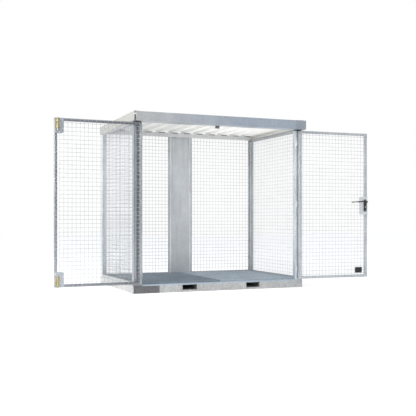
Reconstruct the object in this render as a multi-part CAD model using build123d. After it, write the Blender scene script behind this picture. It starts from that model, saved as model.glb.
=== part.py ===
# Gas cylinder cage: a galvanised storage cage for gas cylinders, with a grating floor on a forklift base,
# wire mesh walls, a sheet roof and two mesh door leaves that stand open in front of the corner posts.
# X runs along the front to the right, Y from the front to the rear, Z up.
# The origin lies on the ground, at the middle of the base frame.
from build123d import *
import math
import os

# Overall sizes of the cage
cage_width = 2400.0
base_depth = 1560.0
sheet = 3.0

# Base frame: folded channels on the ground, with two fork pockets through them
sill_height = 100.0
sill_flange = 70.0
sill_wall = 4.0
pocket_width = 200.0
pocket_height = 66.0
pocket_wall = 3.0
pocket_underside = 26.0
pocket_offset = 450.0
bearer_width = 60.0

# Floor gratings: flat bars on edge in a frame of the same height
grating_height = 32.0
grating_bar = 3.0
grating_pitch = 50.0
grating_front_gap = 66.0
grating_side_gap = 56.0
grating_rear_gap = 40.0
grating_joint = 10.0
grating_rod = 6.0
grating_rods = 2

# Corner posts: folded channels with their open side towards the walls' planes
front_post_width = 110.0
front_post_depth = 60.0
rear_post_width = 50.0
post_wall = 4.0
post_top = 2130.0
foot_plate = 8.0
packer_height = 12.0
packer_margin = 6.0

# Top frame and roof
beam_height = 84.0
beam_wall = 4.0
rear_rail_depth = 30.0
side_beam_width = 50.0
roof_rib_depth = 35.0
roof_rib_pitch = 200.0
roof_rib_top = 90.0
roof_rib_foot = 130.0
roof_sheet = 1.5
roof_fall = 20.0
roof_rear_overhang = 75.0
roof_front_lap = 30.0
verge_height = 115.0
verge_cover = 60.0
verge_lift = 6.0
fascia_height = 117.0
fascia_ahead = 100.0
fascia_top_flange = 66.0

# Wall panels: frames with slim stiles and deeper rails, and welded wire mesh inside them in an edge strip
wall_rail = 40.0
wall_stile = 12.0
wall_frame_depth = 30.0
wall_gap = 5.0
side_wall_inset = 6.0
side_wall_top = 2160.0
rear_wall_inset = 4.0
rear_wall_top = 2190.0
wire = 4.5
wire_pitch = 50.0
wire_layer_gap = 0.3
strip_width = 8.0
fit = 0.2

# Rear centre: two posts and a folded sheet column that stands recessed between them
column_width = 284.0
column_lip = 26.0
column_recess = 10.0
centre_post_width = 26.0
centre_post_wall = 3.0

# Door leaves and their hinges
leaf_tube = 35.0
leaf_depth = 30.0
leaf_mesh_margin = 5.0
leaf_bottom = 118.0
leaf_top_gap = 13.0
leaf_hinge_gap = 25.0
leaf_meeting_gap = 8.0
hinge_ahead = 12.0
hinge_inset = 100.0
knuckle_radius = 9.0
knuckle_height = 40.0
knuckle_gap = 1.0
pin_radius = 6.0
pin_clearance = 0.08
hinge_plate = 6.0
hinge_plate_reach = 30.0
hinge_strap = 4.0
hinge_strap_reach = 30.0
hinge_heights = [250.0, 1123.0, 1960.0]
left_open_angle = 179.0
right_open_angle = 177.6

# Shoot bolts on the left leaf: corner plates, housings with two guides, and the bolts
corner_plate_width = 110.0
corner_plate_height = 185.0
corner_plate_radius = 30.0
corner_plate = 3.0
housing_width = 50.0
housing_height = 116.0
housing_radius = 8.0
housing = 2.0
housing_from_edge = 12.0
guide_height = 22.0
guide_wall = 4.0
bolt_radius = 6.0
bolt_length = 160.0
bolt_travel = 35.0
bolt_clearance = 0.5
bolt_inset = 36.0
bolt_tip_out = 8.0
bolt_knob_radius = 5.0
bolt_knob_length = 24.0
keeper_clearance = 4.0

# Lock and handle on the right leaf
lock_plate_width = 104.0
lock_plate_height = 250.0
lock_plate = 4.0
lock_height = 1118.0
backplate_width = 44.0
backplate_height = 172.0
backplate = 8.0
backplate_inset = 40.0
spindle = 8.0
spindle_clearance = 0.6
lever_length = 150.0
lever_hub = 11.0
lever_waist = 8.0
lever_wave = 6.0
lever_thickness = 10.0
lever_standoff = 46.0
lever_rise = 50.0
lock_cylinder_radius = 8.5
lock_cylinder_drop = 22.0
lock_cylinder_out = 2.0
blank_plate_width = 112.0
blank_plate_height = 78.0
blank_plate = 2.0
blank_plate_inset = 90.0
blank_plate_low = 180.0

# Keeper plate that hangs under the header behind the top shoot bolt
keeper_width = 60.0
keeper_drop = 30.0
keeper_thickness = 5.0

# Levels and planes that follow from the sizes above
half_width = cage_width / 2
front = -base_depth / 2
rear = base_depth / 2
post_foot = sill_height
beam_bottom = post_top + packer_height
beam_top = beam_bottom + beam_height
beam_width = front_post_depth
leaf_top = beam_bottom - leaf_top_gap
leaf_height = leaf_top - leaf_bottom
hinge_x = half_width - hinge_inset
hinge_y = front - hinge_ahead
leaf_width = hinge_x - leaf_hinge_gap - leaf_meeting_gap / 2
floor_top = sill_height + grating_height
wall_bottom = sill_height
mesh_depth = 2 * wire + wire_layer_gap
leaf_thickness = leaf_depth + mesh_depth
rear_wall_face = rear - rear_wall_inset - wall_frame_depth
rear_rail_front = rear_wall_face - rear_rail_depth
rear_post_depth = rear - rear_rail_front


def block(x0, x1, y0, y1, z0, z1):
    """A box between two corners."""
    size = (x1 - x0, y1 - y0, z1 - z0)
    middle = ((x0 + x1) / 2, (y0 + y1) / 2, (z0 + z1) / 2)
    return Pos(*middle) * Box(*size)


def joined(pieces):
    """One solid out of pieces that touch or overlap."""
    first = pieces[0]
    return first.fuse(*pieces[1:]).clean() if len(pieces) > 1 else first


def mirrored(shape):
    """The same piece on the other side of the cage."""
    return mirror(shape, about=Plane.YZ)


def save(node, *shapes):
    """Write one node, whose solids do not touch."""
    solids = []
    for shape in shapes:
        solids += shape.solids()
    export_step(Compound(children=solids), f"parts/{node}.step")


def channel_x(x0, x1, back, open_side, z0, z1, flange, wall):
    """A channel along X: its web stands at back, and its flanges run to the open side, +1 or -1 along Y."""
    outer = block(x0, x1, min(back, back + open_side * flange), max(back, back + open_side * flange), z0, z1)
    inner_back = back + open_side * wall
    inner_front = back + open_side * (flange + wall)
    inner = block(x0 - wall, x1 + wall, min(inner_back, inner_front), max(inner_back, inner_front),
                  z0 + wall, z1 - wall)
    return outer - inner


def channel_y(y0, y1, back, open_side, z0, z1, flange, wall):
    """A channel along Y: its web stands at back, and its flanges run to the open side, +1 or -1 along X."""
    outer = block(min(back, back + open_side * flange), max(back, back + open_side * flange), y0, y1, z0, z1)
    inner_back = back + open_side * wall
    inner_front = back + open_side * (flange + wall)
    inner = block(min(inner_back, inner_front), max(inner_back, inner_front), y0 - wall, y1 + wall,
                  z0 + wall, z1 - wall)
    return outer - inner


def pocket_slot(side):
    """The cut that a fork pocket makes in a sill."""
    middle = side * pocket_offset
    return block(middle - pocket_width / 2 - fit, middle + pocket_width / 2 + fit, front - sheet, rear + sheet,
                 pocket_underside - fit, pocket_underside + pocket_height + fit)


def fork_pocket(side):
    """A rectangular tube that runs through both sills."""
    middle = side * pocket_offset
    outer = block(middle - pocket_width / 2, middle + pocket_width / 2, front, rear,
                  pocket_underside, pocket_underside + pocket_height)
    inner = block(middle - pocket_width / 2 + pocket_wall, middle + pocket_width / 2 - pocket_wall,
                  front - sheet, rear + sheet,
                  pocket_underside + pocket_wall, pocket_underside + pocket_height - pocket_wall)
    return outer - inner


def make_base():
    front_sill = channel_x(-half_width, half_width, front, 1, 0, sill_height, sill_flange, sill_wall)
    rear_sill = channel_x(-half_width, half_width, rear, -1, 0, sill_height, sill_flange, sill_wall)
    for side in (-1, 1):
        front_sill -= pocket_slot(side)
        rear_sill -= pocket_slot(side)
    bolt_hole = Pos(-bolt_x(), bolt_y(), sill_height) * Cylinder(bolt_radius + keeper_clearance, 4 * sill_wall)
    front_sill -= bolt_hole
    save("front_sill", front_sill)
    save("rear_sill", rear_sill)
    left_sill = channel_y(front + sill_flange, rear - sill_flange, -half_width, 1, 0, sill_height,
                          sill_flange, sill_wall)
    save("side_sills", left_sill, mirrored(left_sill))
    bearer = block(-bearer_width / 2, bearer_width / 2, front + sill_flange, rear - sill_flange, 0, sill_height)
    hollow = block(-bearer_width / 2 + sill_wall, bearer_width / 2 - sill_wall, front, rear,
                   sill_wall, sill_height - sill_wall)
    save("centre_bearer", bearer - hollow)
    save("fork_pockets", fork_pocket(-1), fork_pocket(1))


def grating(side):
    """One half of the floor: a frame of flat bars, bearing bars along Y and a few rods through them."""
    inner = grating_joint / 2
    outer = half_width - grating_side_gap
    x0, x1 = (inner, outer) if side > 0 else (-outer, -inner)
    y0 = front + grating_front_gap
    y1 = rear - grating_rear_gap
    pieces = []
    pieces.append(block(x0, x1, y0, y0 + grating_bar, sill_height, floor_top))
    pieces.append(block(x0, x1, y1 - grating_bar, y1, sill_height, floor_top))
    count = round((x1 - x0 - grating_bar) / grating_pitch)
    step = (x1 - x0 - grating_bar) / count
    for index in range(count + 1):
        x = x0 + index * step
        pieces.append(block(x, x + grating_bar, y0, y1, sill_height, floor_top))
    for index in range(grating_rods):
        y = y0 + (index + 1) * (y1 - y0) / (grating_rods + 1)
        pieces.append(block(x0, x1, y - grating_rod / 2, y + grating_rod / 2,
                            floor_top - grating_rod, floor_top))
    return joined(pieces)


def make_posts():
    x_in = half_width - front_post_width
    front_post = block(-half_width, -x_in, front, front + front_post_depth, post_foot + foot_plate, post_top)
    front_post -= block(-half_width + post_wall, -x_in - post_wall, front + post_wall,
                        front + 2 * front_post_depth, post_foot, post_top + post_wall)
    foot = block(-half_width, -x_in, front, front + front_post_depth, post_foot, post_foot + foot_plate)
    front_post = joined([front_post, foot])
    save("front_posts", front_post, mirrored(front_post))
    rear_post = block(-half_width, -half_width + rear_post_width, rear - rear_post_depth, rear,
                      post_foot, post_top)
    rear_post -= block(-half_width + post_wall, -half_width + rear_post_width - post_wall,
                       rear - rear_post_depth + post_wall, rear - post_wall, post_foot - 1, post_top + 1)
    save("rear_posts", rear_post, mirrored(rear_post))
    packer = block(-half_width + packer_margin, -x_in - packer_margin, front + packer_margin,
                   front + front_post_depth - packer_margin, post_top, beam_bottom)
    rear_packer = block(-half_width + packer_margin, -half_width + rear_post_width - packer_margin,
                        rear - rear_post_depth + packer_margin, rear - packer_margin, post_top, beam_bottom)
    save("post_packers", packer, mirrored(packer), rear_packer, mirrored(rear_packer))


def roof_slope():
    """How much the roof falls for each millimetre towards the rear."""
    return roof_fall / base_depth


def roof_underside(y):
    """Height of the roof sheet's underside at a depth y."""
    return beam_top + roof_slope() * (front + beam_width - y)


def make_top_frame():
    end = half_width - sheet
    header = channel_x(-end, end, front, 1, beam_bottom, beam_top, beam_width, beam_wall)
    keeper = Pos(-bolt_x(), bolt_y(), beam_bottom) * Cylinder(bolt_radius + keeper_clearance, 4 * beam_wall)
    save("front_header", header - keeper)
    rail_top = roof_underside(rear_wall_face)
    rear_rail = channel_x(-end, end, rear_rail_front, 1, beam_bottom, rail_top, rear_rail_depth, beam_wall)
    save("rear_top_rail", rear_rail)
    save("side_top_rails", side_rail(), mirrored(side_rail()))
    back = front + beam_width
    plate = block(-bolt_x() - keeper_width / 2, -bolt_x() + keeper_width / 2, back - keeper_thickness, back,
                  beam_bottom - keeper_drop, beam_bottom)
    save("top_keeper", plate)


def side_rail():
    """A channel along the left side whose top follows the fall of the roof."""
    y0 = front + beam_width
    y1 = rear_rail_front
    low = side_wall_top + wall_gap
    outer = Polyline((y0, low), (y1, low), (y1, roof_underside(y1)), (y0, roof_underside(y0)), close=True)
    inner = Polyline((y0 - beam_wall, low + beam_wall), (y1 + beam_wall, low + beam_wall),
                     (y1 + beam_wall, roof_underside(y1 + beam_wall) - beam_wall),
                     (y0 - beam_wall, roof_underside(y0 - beam_wall) - beam_wall), close=True)
    rail = extrude(make_face(Plane.YZ * outer), amount=side_beam_width, dir=(1, 0, 0))
    hollow = extrude(make_face(Plane.YZ * inner), amount=side_beam_width, dir=(1, 0, 0))
    return Pos(-half_width + sheet, 0, 0) * (rail - Pos(beam_wall, 0, 0) * hollow)


def make_roof():
    tilt = math.degrees(math.atan(roof_slope()))
    y_start = front - roof_front_lap
    length = base_depth + roof_front_lap + roof_rear_overhang
    count = int((cage_width - 2 * verge_cover) // roof_rib_pitch)
    span = count * roof_rib_pitch
    points = [(-half_width + sheet, 0)]
    for index in range(count):
        middle = -span / 2 + (index + 0.5) * roof_rib_pitch
        points += [(middle - roof_rib_foot / 2, 0), (middle - roof_rib_top / 2, roof_rib_depth),
                   (middle + roof_rib_top / 2, roof_rib_depth), (middle + roof_rib_foot / 2, 0)]
    points.append((half_width - sheet, 0))
    upper = [(x, z + roof_sheet) for x, z in points]
    section = make_face(Plane.XZ * Polyline(points + upper[::-1], close=True))
    roof = extrude(section, amount=length, dir=(0, 1, 0))
    roof = Pos(0, y_start, roof_underside(y_start)) * Rot(-tilt, 0, 0) * roof
    save("roof_sheet", roof)

    outer = block(-half_width, -half_width + verge_cover, 0, length, -verge_height, 0)
    inner = block(-half_width + sheet, -half_width + 2 * verge_cover, -1, length + 1,
                  -verge_height - 1, -sheet)
    height = roof_underside(y_start) + roof_rib_depth + roof_sheet + sheet + verge_lift
    verge = Pos(0, y_start, height) * Rot(-tilt, 0, 0) * (outer - inner)
    save("roof_verges", verge, mirrored(verge))

    face = front - fascia_ahead
    top = beam_bottom + fascia_height
    web = block(-half_width, half_width, face, face + sheet, beam_bottom, top)
    lower = block(-half_width, half_width, face, front, beam_bottom, beam_bottom + sheet)
    upper = block(-half_width, half_width, face, face + fascia_top_flange, top - sheet, top)
    save("front_fascia", joined([web, lower, upper]))


def mesh_panel(width, height):
    """Welded mesh in the XZ plane, centred on Y: upright wires behind, level wires ahead, in an edge strip."""
    half = mesh_depth / 2
    strip = block(0, width, -half, half, 0, height)
    strip -= block(strip_width, width - strip_width, -2 * half, 2 * half, strip_width, height - strip_width)
    pieces = [strip]
    across = int((width - 2 * strip_width) // wire_pitch)
    x_start = (width - (across - 1) * wire_pitch) / 2 if across else width / 2
    for index in range(across):
        x = x_start + index * wire_pitch
        pieces.append(block(x - wire / 2, x + wire / 2, wire_layer_gap / 2, half,
                            strip_width / 2, height - strip_width / 2))
    up = int((height - 2 * strip_width) // wire_pitch)
    z_start = (height - (up - 1) * wire_pitch) / 2
    for index in range(up):
        z = z_start + index * wire_pitch
        pieces.append(block(strip_width / 2, width - strip_width / 2, -half, -wire_layer_gap / 2,
                            z - wire / 2, z + wire / 2))
    return joined(pieces)


def bar_frame(width, height, stile, rail, depth):
    """A rectangular frame of bars, centred on Y, with its own widths for the stiles and the rails."""
    outer = block(0, width, -depth / 2, depth / 2, 0, height)
    return outer - block(stile, width - stile, -depth, depth, rail, height - rail)


def wall_pair(width, height):
    """A wall frame and the mesh that is welded inside it."""
    mesh = mesh_panel(width - 2 * wall_stile - 2 * fit, height - 2 * wall_rail - 2 * fit)
    frame = bar_frame(width, height, wall_stile, wall_rail, wall_frame_depth)
    return frame, Pos(wall_stile + fit, 0, wall_rail + fit) * mesh


def make_walls():
    height = side_wall_top - wall_bottom
    length = base_depth - front_post_depth - rear_post_depth - 2 * wall_gap
    frame, mesh = wall_pair(length, height)
    place = Pos(-half_width + side_wall_inset + wall_frame_depth / 2, front + front_post_depth + wall_gap,
                wall_bottom) * Rot(0, 0, 90)
    save("left_wall_frame", place * frame)
    save("left_wall_mesh", place * mesh)
    save("right_wall_frame", mirrored(place * frame))
    save("right_wall_mesh", mirrored(place * mesh))

    height = rear_wall_top - wall_bottom
    centre = column_width / 2 + centre_post_width
    width = half_width - rear_post_width - centre - 2 * wall_gap
    frame, mesh = wall_pair(width, height)
    place = Pos(-half_width + rear_post_width + wall_gap, rear_wall_face + wall_frame_depth / 2, wall_bottom)
    save("rear_left_frame", place * frame)
    save("rear_left_mesh", place * mesh)
    save("rear_right_frame", mirrored(place * frame))
    save("rear_right_mesh", mirrored(place * mesh))


def make_rear_centre():
    """The two centre posts of the rear wall, and the sheet column between them, open to the rear."""
    half = column_width / 2
    back = rear_wall_face + wall_frame_depth
    post = block(-half - centre_post_width, -half, rear_wall_face, back, sill_height, rear_wall_top)
    post -= block(-half - centre_post_width + centre_post_wall, -half - centre_post_wall,
                  rear_wall_face + centre_post_wall, back - centre_post_wall, 0, 2 * rear_wall_top)
    save("rear_centre_posts", post, mirrored(post))
    face = rear_wall_face + column_recess
    column = block(-half, half, face, back, sill_height, rear_wall_top)
    column -= block(-half + sheet, half - sheet, face + sheet, back - sheet, 0, 2 * rear_wall_top)
    column -= block(-half + column_lip, half - column_lip, back - 2 * sheet, back + sheet, 0, 2 * rear_wall_top)
    save("rear_centre_column", column)


def opened(shape, side):
    """Turn a closed leaf about its hinge axis to the place where it stands open."""
    angle = right_open_angle if side > 0 else -left_open_angle
    axis = Axis((side * hinge_x, hinge_y, 0), (0, 0, 1))
    return shape.rotate(axis, angle)


def bolt_x():
    """Distance of the shoot bolts from the middle of the cage, with the leaf closed."""
    return leaf_meeting_gap / 2 + bolt_inset


def bolt_y():
    """Plane of the shoot bolts with the leaf closed."""
    return hinge_y + leaf_thickness + corner_plate + housing + bolt_radius + bolt_clearance


def leaf_pair():
    """The left leaf, closed: its frame, and the mesh welded on the frame's inside face."""
    frame = bar_frame(leaf_width, leaf_height, leaf_tube, leaf_tube, leaf_depth)
    mesh = mesh_panel(leaf_width - 2 * leaf_mesh_margin, leaf_height - 2 * leaf_mesh_margin)
    x = -hinge_x + leaf_hinge_gap
    frame = Pos(x, hinge_y + leaf_depth / 2, leaf_bottom) * frame
    mesh_y = hinge_y + leaf_depth + mesh_depth / 2
    mesh = Pos(x + leaf_mesh_margin, mesh_y, leaf_bottom + leaf_mesh_margin) * mesh
    return frame, mesh


def post_knuckle(height):
    """The hinge half on the left post: a plate on the post, a knuckle and its pin."""
    z0 = height - knuckle_height
    knuckle = Pos(-hinge_x, hinge_y, height - knuckle_height / 2) * Cylinder(knuckle_radius, knuckle_height)
    x0 = -hinge_x - hinge_plate_reach
    plate = block(x0, -hinge_x + knuckle_radius / 2, front - hinge_plate, front, z0, height)
    pin = Pos(-hinge_x, hinge_y, height + knuckle_height / 2) * Cylinder(pin_radius, knuckle_height)
    return joined([knuckle, plate, pin])


def leaf_knuckle(height):
    """The hinge half on the left leaf: a bored knuckle that drops over the pin, and its strap."""
    z0 = height + knuckle_gap
    z1 = z0 + knuckle_height
    middle = (z0 + z1) / 2
    knuckle = Pos(-hinge_x, hinge_y, middle) * Cylinder(knuckle_radius, knuckle_height)
    x1 = -hinge_x + leaf_hinge_gap + hinge_strap_reach
    strap = block(-hinge_x, x1, hinge_y - hinge_strap, hinge_y, z0, z1)
    bore = Pos(-hinge_x, hinge_y, middle) * Cylinder(pin_radius + pin_clearance, 2 * knuckle_height)
    return joined([knuckle, strap]) - bore


def make_leaves():
    frame, mesh = leaf_pair()
    save("left_leaf_frame", opened(frame, -1))
    save("left_leaf_mesh", opened(mesh, -1))
    room = lock_box(fit)
    save("right_leaf_frame", opened(mirrored(frame) - room, 1))
    save("right_leaf_mesh", opened(mirrored(mesh) - room, 1))
    pins = [post_knuckle(height) for height in hinge_heights]
    save("hinge_pins", *pins, *[mirrored(pin) for pin in pins])
    knuckles = [leaf_knuckle(height) for height in hinge_heights]
    save("left_leaf_knuckles", *[opened(piece, -1) for piece in knuckles])
    save("right_leaf_knuckles", *[opened(mirrored(piece), 1) for piece in knuckles])


def bolt_set(up):
    """Corner plate, housing and bolt for the top (up = 1) or the bottom (up = -1) of the left leaf."""
    edge = leaf_top if up > 0 else leaf_bottom
    face = hinge_y + leaf_thickness
    free = -leaf_meeting_gap / 2
    z0, z1 = sorted((edge, edge - up * corner_plate_height))
    plate = block(free - corner_plate_width, free, face, face + corner_plate, z0, z1)
    inner = plate.edges().filter_by(Axis.Y).sort_by(Axis.X)[:2]
    corner = inner.sort_by(Axis.Z)[0 if up > 0 else -1]
    plate = fillet(corner, corner_plate_radius)

    x = -bolt_x()
    y = bolt_y()
    middle = edge - up * (housing_from_edge + housing_height / 2)
    back = face + corner_plate
    base = Plane.XZ * RectangleRounded(housing_width, housing_height, housing_radius)
    body = Pos(x, back + housing, middle) * extrude(base, amount=housing)
    top = y + bolt_radius + bolt_clearance + guide_wall
    reach = bolt_radius + bolt_clearance + guide_wall
    guides = []
    for z in (middle - housing_height / 2 + guide_height, middle + housing_height / 2 - guide_height):
        guide = block(x - reach, x + reach, back + housing, top, z - guide_height / 2, z + guide_height / 2)
        guides.append(chamfer(guide.edges().filter_by(Axis.Z).sort_by(Axis.Y)[-2:], guide_wall))
    bore = Pos(x, y, edge) * Cylinder(bolt_radius + bolt_clearance, 4 * corner_plate_height)
    body = joined([body] + guides) - bore

    tip = edge + up * bolt_tip_out
    rod = Pos(x, y, tip - up * bolt_length / 2) * Cylinder(bolt_radius, bolt_length)
    rod = chamfer(rod.edges().sort_by(Axis.Z)[-1 if up > 0 else 0], bolt_radius / 4)
    knob_z = middle - up * bolt_travel / 2
    knob = Rot(90, 0, 0) * Cylinder(bolt_knob_radius, bolt_knob_length)
    knob = Pos(x, y + bolt_knob_length / 2, knob_z) * knob
    return plate, body, joined([rod, knob])


def make_bolts():
    plates = []
    bodies = []
    for up, name in ((1, "top"), (-1, "bottom")):
        plate, body, rod = bolt_set(up)
        plates.append(opened(plate, -1))
        bodies.append(opened(body, -1))
        save(f"{name}_shoot_bolt", opened(rod, -1))
    save("corner_plates", *plates)
    save("bolt_housings", *bodies)


def lock_box(margin=0.0):
    """The lock case between the plates, closed, or the room it needs with a margin."""
    free = leaf_meeting_gap / 2
    low = lock_height - lock_plate_height / 2
    high = lock_height + lock_plate_height / 2
    y0 = hinge_y - margin
    y1 = hinge_y + leaf_thickness + margin
    return block(free - margin, free + lock_plate_width + margin, y0, y1, low - margin, high + margin)


def lever_grip():
    """A lever grip in the XZ plane, from its round hub at the origin along X, with a gentle wave."""
    end = lever_length
    upper = [(0, lever_hub), (end / 3, lever_waist + lever_wave), (end - lever_waist, lever_waist)]
    lower = [(end - lever_waist, -lever_waist), (end / 3, lever_wave - lever_waist), (0, -lever_hub)]
    outline = [Spline(*upper, tangents=((1, 0), (1, 0))),
               ThreePointArc(upper[-1], (end, 0), lower[0]),
               Spline(*lower, tangents=((-1, 0), (-1, 0))),
               ThreePointArc(lower[-1], (-lever_hub, 0), upper[0])]
    face = make_face(Plane.XZ * Curve(children=outline))
    return extrude(face, amount=lever_thickness / 2, both=True)


def make_lock():
    """Lock case, plates, backplates, lock cylinder and lever on the right leaf, made closed and then opened."""
    inner_face = hinge_y + leaf_thickness
    middle_y = hinge_y + leaf_thickness / 2
    free = leaf_meeting_gap / 2
    x = free + backplate_inset
    low = lock_height - lock_plate_height / 2
    high = lock_height + lock_plate_height / 2
    spindle_z = lock_height + lever_rise
    cylinder_z = lock_height - lock_cylinder_drop
    through = leaf_thickness + 4 * (lock_plate + backplate)
    bore = Pos(x, middle_y, spindle_z) * Rot(90, 0, 0) * Cylinder(spindle + spindle_clearance, through)
    key_way = Pos(x, middle_y, cylinder_z) * Rot(90, 0, 0) * Cylinder(lock_cylinder_radius + fit, through)
    plates = []
    backplates = []
    for face, outward in ((inner_face, 1), (hinge_y, -1)):
        y0, y1 = sorted((face, face + outward * lock_plate))
        plate = block(free, free + lock_plate_width, y0, y1, low, high)
        plates.append(opened(plate - bore - key_way, 1))
        slot = Plane.XZ * Rot(0, 0, 90) * SlotOverall(backplate_height, backplate_width)
        shield = Pos(x, max(face + outward * lock_plate, face + outward * (lock_plate + backplate)),
                     lock_height) * extrude(slot, amount=backplate)
        backplates.append(opened(shield - bore - key_way, 1))
    save("lock_case", opened(lock_box() - bore - key_way, 1))
    save("lock_plates", *plates)
    save("lock_backplates", *backplates)

    barrel_length = leaf_thickness + 2 * (lock_plate + backplate + lock_cylinder_out)
    barrel = Pos(x, middle_y, cylinder_z) * Rot(90, 0, 0) * Cylinder(lock_cylinder_radius, barrel_length)
    save("lock_cylinder", opened(barrel, 1))

    reach = leaf_thickness / 2 + lock_plate + backplate + lever_standoff
    rod = Pos(x, middle_y, spindle_z) * Rot(90, 0, 0) * Cylinder(spindle, 2 * reach)
    pieces = [rod]
    for y in (middle_y + reach, middle_y - reach):
        pieces.append(Pos(x, y, spindle_z) * lever_grip())
    save("lock_lever", opened(joined(pieces), 1))

    plate = block(free + blank_plate_inset, free + blank_plate_inset + blank_plate_width, inner_face,
                  inner_face + blank_plate, blank_plate_low, blank_plate_low + blank_plate_height)
    save("blank_plate", opened(plate, 1))


os.makedirs("parts", exist_ok=True)
make_base()
save("left_grating", grating(-1))
save("right_grating", grating(1))
make_posts()
make_top_frame()
make_roof()
make_walls()
make_rear_centre()
make_leaves()
make_bolts()
make_lock()
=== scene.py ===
import math
import random

import bpy
from mathutils import Matrix, Vector


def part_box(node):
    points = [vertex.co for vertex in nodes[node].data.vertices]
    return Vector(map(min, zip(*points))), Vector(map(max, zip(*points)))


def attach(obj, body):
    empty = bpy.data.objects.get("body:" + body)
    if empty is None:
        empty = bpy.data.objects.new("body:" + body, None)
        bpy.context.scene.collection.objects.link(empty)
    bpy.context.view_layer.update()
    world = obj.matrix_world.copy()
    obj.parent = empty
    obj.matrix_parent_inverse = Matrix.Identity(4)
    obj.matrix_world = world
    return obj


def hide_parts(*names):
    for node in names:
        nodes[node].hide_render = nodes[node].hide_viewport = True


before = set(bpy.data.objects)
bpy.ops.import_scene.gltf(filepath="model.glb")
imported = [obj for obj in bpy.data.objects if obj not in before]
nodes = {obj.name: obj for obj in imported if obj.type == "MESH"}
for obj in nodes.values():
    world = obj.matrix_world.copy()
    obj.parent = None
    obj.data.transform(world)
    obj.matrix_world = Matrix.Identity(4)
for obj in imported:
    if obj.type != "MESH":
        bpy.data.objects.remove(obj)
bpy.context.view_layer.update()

rng = random.Random(7)

MM = 0.001

# Sizes and places that the solids have, with the leaves closed
HALF, FRONT, REAR = 1.2, -0.78, 0.78
SILL_HEIGHT, SILL_FLANGE = 100 * MM, 70 * MM
FRONT_POST_WIDTH, FRONT_POST_DEPTH = 110 * MM, 60 * MM
REAR_POST_WIDTH, REAR_POST_DEPTH = 50 * MM, 64 * MM
BEAM_TOP = 2.226
ROOF_FALL = 20 / 1560
RIB_PITCH = 0.2
RIB_TOP = 36.5 * MM
WIRE_RADIUS = 2.25 * MM
WIRE_PITCH = 50 * MM
MESH_DEPTH = 9.3 * MM
MESH_INSET = 5 * MM
HINGE_X = 1.1
HINGE_HEIGHTS = (0.25, 1.123, 1.96)
LEAF_Y = FRONT - 12 * MM
LEAF_TUBE, LEAF_DEPTH = 35 * MM, 30 * MM
LEAF_FACE = LEAF_Y + LEAF_DEPTH + MESH_DEPTH
LEAF_LOW, LEAF_HIGH = 0.118, 2.129
LEAF_OUT = HINGE_X - 25 * MM
LEAF_FREE = 4 * MM
LEFT_OPEN = math.radians(179.0)
RIGHT_OPEN = math.radians(177.6)
PLATE = 3 * MM
LOCK_HEIGHT = 1.118
LOCK_PLATE = 4 * MM
BACKPLATE = 8 * MM
LOCK_ROOM_WIDTH = 108.2 * MM
LOCK_ROOM_LOW, LOCK_ROOM_HIGH = 992.8 * MM, 1243.2 * MM
SPINDLE_X = -44 * MM
SHOOT_BOLT_X = -40 * MM

# Sizes of what is added here
BOLT_SIZE = 8 * MM
FOLD = 2 * MM
GRATING_BAR, GRATING_PITCH = 3 * MM, 50 * MM
ROD_PITCH, ROD_RADIUS = 38 * MM, 3.1 * MM

# The camera that took the photo, and the floor's own light
PHOTO_PIXELS, FOCAL_PIXELS, RISE_PIXELS = 416, 745.43, 10.878
SENSOR = 36
CAMERA_PLACE = (-3.957, -9.654, 0.931)
CAMERA_TURN = math.radians(-22.957)
FLOOR_GLOW = 0.47


# Materials
# Places of a colour mix node's sockets
MIX_FACTOR, MIX_A, MIX_B, MIX_RESULT = 0, 6, 7, 2


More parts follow.
